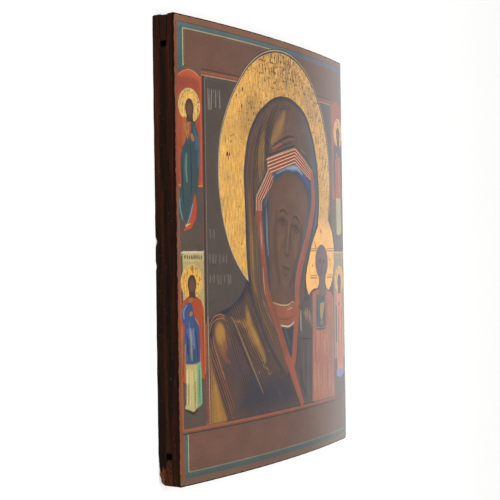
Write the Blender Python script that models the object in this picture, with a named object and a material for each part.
"""An old painted icon panel that lies face up on the two long arrises of its hollow back.

+X runs across the picture, +Y to the picture's top and +Z up. The origin is on the surface under the panel's middle.
The pieces are made flat, as a joiner makes them, on the axes across, up and height over the back. The board is
then warped round an axis along its grain, and its end battens with it, so that the painted front bulges.
Lengths are in metres.
"""

import math

import bmesh
import bpy
import numpy as np
from mathutils import Vector

# Driving dimensions of the panel
PANEL_HEIGHT = 0.311
PANEL_WIDTH = 0.267
BOARD_THICKNESS = 0.0183
BOW_RISE = 0.0094

# Room left between pieces that touch
TOUCH_GAP = 0.0003

# The groove let into each end, which narrows inwards, and the batten that it holds
BACK_CHEEK = 0.0062
GROOVE_MOUTH = 0.0070
GROOVE_ROOT = 0.0046
GROOVE_DEPTH = 0.0215
GAP_UNDER_BATTEN = 0.0038
TOP_BATTEN_SETBACK = 0.0009

# Wear of the corners, seen from the front, and of the arrises
TOP_LEFT_RADIUS = 0.0012
TOP_RIGHT_RADIUS = 0.0018
BOTTOM_LEFT_RADIUS = 0.0022
BOTTOM_RIGHT_RADIUS = 0.0048
FRONT_ARRIS_RADIUS = 0.0010
END_BACK_ARRIS_RADIUS = 0.0014
ARRIS_STEPS = 2
CORNER_STEPS = 4

# Flats that the back's long arrises have worn to, on which the panel rests
REST_FLAT_WIDTH = 0.0022

# Wood lost from the back of the lower left corner: a long shallow break and a round at its end
BREAK_LENGTH = 0.0165
BREAK_DEPTH = 0.0020
BREAK_SPREAD = 0.0080
ROUND_LENGTH = 0.0056
ROUND_DEPTH = 0.0042

# Two nicks in the left back arris, by their place over the panel's middle
LARGE_NICK_UP = 0.0054
LARGE_NICK_DEPTH = 0.0012
SMALL_NICK_UP = -0.0109
SMALL_NICK_DEPTH = 0.0007

# How finely the warp is faceted, how near a strip's edge takes up a corner, and how far cutters run past the wood
WARP_STRIPS = 24
SNAP = 1e-7
OVERRUN = 0.004
SPHERE_SEGMENTS = 24
SPHERE_RINGS = 12

# Colours are linear, as the shader takes them
DARK_WOOD = (0.022, 0.012, 0.009, 1.0)
BATTEN_WOOD = (0.060, 0.030, 0.016, 1.0)
WOOD_ROUGHNESS = 0.62

# The warp follows from the width and the rise
HALF_WIDTH = PANEL_WIDTH / 2
FRONT_RADIUS = (HALF_WIDTH**2 + BOW_RISE**2) / (2 * BOW_RISE)
BACK_RADIUS = FRONT_RADIUS - BOARD_THICKNESS
EDGE_TURN = math.asin(HALF_WIDTH / FRONT_RADIUS)
HALF_ACROSS = FRONT_RADIUS * EDGE_TURN
HALF_UP = PANEL_HEIGHT / 2
FLAT_CUT = REST_FLAT_WIDTH * math.sin(EDGE_TURN) * math.cos(EDGE_TURN)
REST_LEVEL = BACK_RADIUS * math.cos(EDGE_TURN) + FLAT_CUT


def clear_scene():
    """Removes whatever the scene holds."""
    for old in list(bpy.data.objects):
        bpy.data.objects.remove(old, do_unlink=True)


def new_collection(name):
    """Makes a collection in the scene."""
    collection = bpy.data.collections.new(name)
    bpy.context.scene.collection.children.link(collection)
    return collection


def wood(name, colour):
    """Makes a plain wood material."""
    material = bpy.data.materials.new(name)
    material.use_nodes = True
    shader = material.node_tree.nodes["Principled BSDF"]
    shader.inputs["Base Color"].default_value = colour
    shader.inputs["Roughness"].default_value = WOOD_ROUGHNESS
    shader.inputs["Metallic"].default_value = 0.0
    return material


def add_object(name, bm, collection, material=None):
    """Turns a bmesh into a named object, with its faces pointing out."""
    bm.normal_update()
    bmesh.ops.recalc_face_normals(bm, faces=bm.faces)
    mesh = bpy.data.meshes.new(name)
    bm.to_mesh(mesh)
    bm.free()
    obj = bpy.data.objects.new(name, mesh)
    collection.objects.link(obj)
    if material:
        mesh.materials.append(material)
    else:
        obj.hide_render = True
        obj.display_type = "WIRE"
    return obj


def box(low, high):
    """Makes a bmesh cube that spans two corners."""
    bm = bmesh.new()
    bmesh.ops.create_cube(bm, size=1.0)
    low, high = Vector(low), Vector(high)
    bmesh.ops.scale(bm, vec=high - low, verts=bm.verts)
    bmesh.ops.translate(bm, vec=(low + high) / 2, verts=bm.verts)
    return bm


def round_edges(bm, chosen, radius, steps):
    """Rounds the edges for whose middle and direction the test holds."""
    edges = [
        edge
        for edge in bm.edges
        if chosen((edge.verts[0].co + edge.verts[1].co) / 2, edge.verts[1].co - edge.verts[0].co)
    ]
    bmesh.ops.bevel(bm, geom=edges, offset=radius, segments=steps, profile=0.5, affect="EDGES", clamp_overlap=True)


def round_corner(bm, side, end, radius):
    """Rounds the upright corner edge at one side (-1 left, 1 right) and one end (-1 bottom, 1 top)."""

    def at_corner(middle, direction):
        upright = abs(direction.z) > max(abs(direction.x), abs(direction.y))
        return upright and side * middle.x > HALF_ACROSS / 2 and end * middle.y > HALF_UP / 2

    round_edges(bm, at_corner, radius, CORNER_STEPS)


def on_front(middle, _direction):
    """Tells whether an edge bounds the front."""
    return middle.z > BOARD_THICKNESS - TOUCH_GAP


def on_back_end(middle, direction):
    """Tells whether an edge is an arris between the back and one end."""
    return middle.z < TOUCH_GAP and abs(direction.x) > HALF_ACROSS


def wedge(end, half_across, outer, inner, outer_thickness, inner_thickness):
    """Makes a bar across the board that narrows inwards from one end (-1 bottom, 1 top).

    outer and inner are distances in from the board's end, and outer may be negative, outside the wood.
    """
    middle = BACK_CHEEK + GROOVE_MOUTH / 2
    bm = box((-half_across, 0, -0.5), (half_across, 1, 0.5))
    for vert in bm.verts:
        is_inner = vert.co.y > 0.5
        thickness = inner_thickness if is_inner else outer_thickness
        vert.co.z = middle + vert.co.z * thickness
        vert.co.y = end * (HALF_UP - (inner if is_inner else outer))
    return bm


def groove_width(depth):
    """Gives the groove's width at a depth in from the board's end, on its two straight walls."""
    return GROOVE_MOUTH + (GROOVE_ROOT - GROOVE_MOUTH) * depth / GROOVE_DEPTH


def groove_cutter(name, end, collection):
    """Makes the cutter for the groove in one end."""
    bm = wedge(end, HALF_ACROSS + OVERRUN, -OVERRUN, GROOVE_DEPTH, groove_width(-OVERRUN), GROOVE_ROOT)
    return add_object(name, bm, collection)


def ellipsoid_cutter(name, centre, radii, collection):
    """Makes an ellipsoid that scoops out lost wood."""
    bm = bmesh.new()
    bmesh.ops.create_uvsphere(bm, u_segments=SPHERE_SEGMENTS, v_segments=SPHERE_RINGS, radius=1.0)
    bmesh.ops.scale(bm, vec=radii, verts=bm.verts)
    bmesh.ops.translate(bm, vec=centre, verts=bm.verts)
    return add_object(name, bm, collection)


def scoop(name, depth, length, spread, collection):
    """Makes a scoop at the lower left back corner.

    The ellipsoid's middle is as far behind the back as the scoop is deep, so its half height is twice the depth
    and it meets the back at the stated length up from the board's end.
    """
    half_height = 2 * depth
    half_length = length / math.sqrt(1 - (depth / half_height) ** 2)
    centre = (-HALF_ACROSS, -HALF_UP, -depth)
    return ellipsoid_cutter(name, centre, (spread, half_length, half_height), collection)


def nick_cutter(name, up, depth, collection):
    """Makes a square bar with one arris pointing into the wood, which nicks the left back arris."""
    bm = bmesh.new()
    ends = bmesh.ops.create_cone(
        bm, cap_ends=True, segments=4, radius1=2 * depth, radius2=2 * depth, depth=2 * REST_FLAT_WIDTH
    )
    diagonal = Vector((1, 0, 1)).normalized()
    turn = Vector((0, 0, 1)).rotation_difference(Vector((-1, 0, 1)).normalized())
    bmesh.ops.rotate(bm, matrix=turn.to_matrix(), verts=ends["verts"])
    bmesh.ops.translate(bm, vec=Vector((-HALF_ACROSS, up, 0)) - diagonal * depth, verts=ends["verts"])
    return add_object(name, bm, collection)


def cut(obj, cutters):
    """Cuts an object with each cutter in turn and makes the result its mesh."""
    for cutter in cutters:
        modifier = obj.modifiers.new(cutter.name, "BOOLEAN")
        modifier.operation = "DIFFERENCE"
        modifier.solver = "EXACT"
        modifier.object = cutter
    bpy.context.view_layer.update()
    graph = bpy.context.evaluated_depsgraph_get()
    flat = obj.data
    obj.data = bpy.data.meshes.new_from_object(obj.evaluated_get(graph))
    obj.modifiers.clear()
    bpy.data.meshes.remove(flat)
    obj.data.name = obj.name


def warp(obj):
    """Divides a flat piece into strips along the grain and bends it round the axis of the warp.

    A point's turn is its place across over the front's radius, and its reach is the back's radius plus its height.
    """
    bm = bmesh.new()
    bm.from_mesh(obj.data)
    for step in range(1, WARP_STRIPS):
        across = HALF_ACROSS * (2 * step / WARP_STRIPS - 1)
        geometry = list(bm.verts) + list(bm.edges) + list(bm.faces)
        bmesh.ops.bisect_plane(bm, geom=geometry, plane_co=(across, 0, 0), plane_no=(1, 0, 0), dist=SNAP)
    bmesh.ops.triangulate(bm, faces=bm.faces)
    bm.to_mesh(obj.data)
    bm.free()
    points = np.empty(len(obj.data.vertices) * 3, np.float32)
    obj.data.vertices.foreach_get("co", points)
    across, up, height = points.reshape(-1, 3).astype(float).T
    turn = across / FRONT_RADIUS
    reach = BACK_RADIUS + height
    bent = np.column_stack([reach * np.sin(turn), up, reach * np.cos(turn) - REST_LEVEL])
    obj.data.vertices.foreach_set("co", bent.astype(np.float32).ravel())
    obj.data.update()


def make_board(collection, cutters):
    """Makes the board with its end grooves, its worn corners and arrises, its lost wood and its resting flats."""
    bm = box((-HALF_ACROSS, -HALF_UP, 0), (HALF_ACROSS, HALF_UP, BOARD_THICKNESS))
    round_corner(bm, -1, 1, TOP_LEFT_RADIUS)
    round_corner(bm, 1, 1, TOP_RIGHT_RADIUS)
    round_corner(bm, -1, -1, BOTTOM_LEFT_RADIUS)
    round_corner(bm, 1, -1, BOTTOM_RIGHT_RADIUS)
    round_edges(bm, on_front, FRONT_ARRIS_RADIUS, ARRIS_STEPS)
    round_edges(bm, on_back_end, END_BACK_ARRIS_RADIUS, ARRIS_STEPS)
    board = add_object("board", bm, collection, wood("painted_board_wood", DARK_WOOD))
    cut(
        board,
        [
            groove_cutter("top_groove", 1, cutters),
            groove_cutter("bottom_groove", -1, cutters),
            scoop("corner_break", BREAK_DEPTH, BREAK_LENGTH, BREAK_SPREAD, cutters),
            scoop("corner_round", ROUND_DEPTH, ROUND_LENGTH, BREAK_SPREAD, cutters),
            nick_cutter("large_nick", LARGE_NICK_UP, LARGE_NICK_DEPTH, cutters),
            nick_cutter("small_nick", SMALL_NICK_UP, SMALL_NICK_DEPTH, cutters),
        ],
    )
    warp(board)
    under = box((-PANEL_WIDTH, -PANEL_HEIGHT, -BOARD_THICKNESS), (PANEL_WIDTH, PANEL_HEIGHT, 0))
    cut(board, [add_object("resting_surface", under, cutters)])
    return board


def make_batten(name, end, setback, left_radius, right_radius, collection):
    """Makes one end batten, a clearance thinner than its groove, with its outer corners worn with the board's."""
    inner = GROOVE_DEPTH - GAP_UNDER_BATTEN
    thin = 2 * TOUCH_GAP
    bm = wedge(end, HALF_ACROSS, setback, inner, groove_width(setback) - thin, groove_width(inner) - thin)
    round_corner(bm, -1, end, left_radius)
    round_corner(bm, 1, end, right_radius)
    batten = add_object(name, bm, collection, wood(name + "_wood", BATTEN_WOOD))
    warp(batten)
    return batten


def main():
    """Builds the panel."""
    clear_scene()
    panel = new_collection("icon_panel")
    cutters = new_collection("icon_panel_cutters")
    pieces = [
        make_board(panel, cutters),
        make_batten("top_end_batten", 1, TOP_BATTEN_SETBACK, TOP_LEFT_RADIUS, TOP_RIGHT_RADIUS, panel),
        make_batten("bottom_end_batten", -1, 0.0, BOTTOM_LEFT_RADIUS, BOTTOM_RIGHT_RADIUS, panel),
    ]
    carrier = bpy.data.objects.new("icon_panel", None)
    panel.objects.link(carrier)
    for piece in pieces:
        piece.parent = carrier


main()
